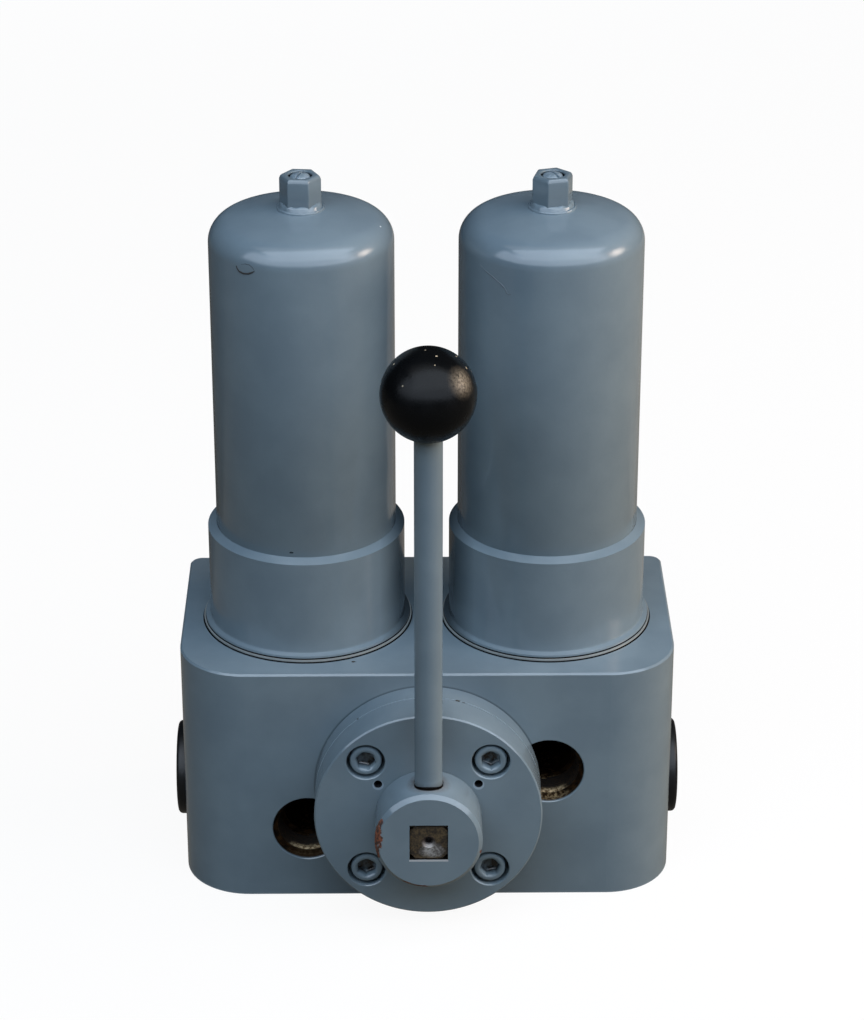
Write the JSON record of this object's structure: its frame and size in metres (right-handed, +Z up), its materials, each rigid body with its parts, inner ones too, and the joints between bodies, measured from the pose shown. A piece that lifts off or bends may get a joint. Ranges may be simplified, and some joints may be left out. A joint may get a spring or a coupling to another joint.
{
  "type": "duplex strainer",
  "caption": "Switchable strainer with a solid head block, twin upright domed bowls on threaded collars, and a front change-over valve turned by an upright lever with a ball knob.",
  "frame": {"origin": "centre of the head block's underside", "axes": "+Z up along the bowl axes, -Y towards the change-over valve and lever, +X to the right seen from the valve"},
  "size_m": [0.287, 0.2149, 0.4035],
  "materials": {
    "grey_enamel": "satin blue-grey enamel, brushed and sprayed over steel",
    "bare_steel": "bare machined steel, lightly rusted",
    "bronze": "turned bearing bronze",
    "brass_insert": "turned brass",
    "copper": "soft copper",
    "black_rubber": "moulded nitrile",
    "black_phenolic": "polished moulded phenolic",
    "black_plastic": "moulded, slightly glossy",
    "zinc_sheet": "pressed galvanised sheet",
    "filter_cloth": "pleated resin-bonded fibre cloth",
    "spring_wire": "drawn spring wire"
  },
  "bodies": {
    "head": {"filter_head": "grey_enamel", "spacer_ring": "grey_enamel", "cover_flange": "grey_enamel", "cover_screws": "grey_enamel", "cover_o_rings": "black_rubber", "spindle_bush": "bronze", "spindle_seal": "black_rubber", "thrust_washer": "bronze", "left_bowl_gasket": "grey_enamel", "left_element_spigot": "bare_steel", "left_spigot_o_ring": "black_rubber", "left_element_foot_cap": "zinc_sheet", "left_element_core": "zinc_sheet", "left_element_pleats": "filter_cloth", "left_element_top_cap": "zinc_sheet", "left_element_spring": "spring_wire", "right_bowl_gasket": "grey_enamel", "right_element_spigot": "bare_steel", "right_spigot_o_ring": "black_rubber", "right_element_foot_cap": "zinc_sheet", "right_element_core": "zinc_sheet", "right_element_pleats": "filter_cloth", "right_element_top_cap": "zinc_sheet", "right_element_spring": "spring_wire"},
    "lever": {"valve_spool": "bare_steel", "spool_o_rings": "black_rubber", "lever_hub": "grey_enamel", "lever_rod": "grey_enamel", "ball_knob": "black_phenolic", "knob_insert": "brass_insert"},
    "left_bowl": {"left_bowl_tube": "grey_enamel", "left_bowl_collar": "grey_enamel", "left_bowl_o_ring": "black_rubber", "left_vent_boss": "grey_enamel"},
    "left_vent": {"left_vent_screw": "grey_enamel", "left_vent_seal": "copper"},
    "left_plug": {"left_port_plug": "black_plastic", "left_plug_seal": "black_rubber"},
    "right_bowl": {"right_bowl_tube": "grey_enamel", "right_bowl_collar": "grey_enamel", "right_bowl_o_ring": "black_rubber", "right_vent_boss": "grey_enamel"},
    "right_vent": {"right_vent_screw": "grey_enamel", "right_vent_seal": "copper"},
    "right_plug": {"right_port_plug": "black_plastic", "right_plug_seal": "black_rubber"}
  },
  "joints": [
    {"name": "changeover_lever", "type": "hinge", "parent": "head", "child": "lever", "pos_m": [0, -0.1179, 0.0708], "axis": [0, 1, 0], "range_deg": [-45, 45]},
    {"name": "left_bowl_lift", "type": "slide", "parent": "head", "child": "left_bowl", "axis": [0, 0, 1], "range_m": [0, 0.29]},
    {"name": "left_vent_unscrew", "type": "slide", "parent": "left_bowl", "child": "left_vent", "axis": [0, 0, 1], "range_m": [0, 0.004]},
    {"name": "left_plug_out", "type": "slide", "parent": "head", "child": "left_plug", "axis": [-1, 0, 0], "range_m": [0, 0.03]},
    {"name": "right_bowl_lift", "type": "slide", "parent": "head", "child": "right_bowl", "axis": [0, 0, 1], "range_m": [0, 0.29]},
    {"name": "right_vent_unscrew", "type": "slide", "parent": "right_bowl", "child": "right_vent", "axis": [0, 0, 1], "range_m": [0, 0.004]},
    {"name": "right_plug_out", "type": "slide", "parent": "head", "child": "right_plug", "axis": [1, 0, 0], "range_m": [0, 0.03]}
  ]
}
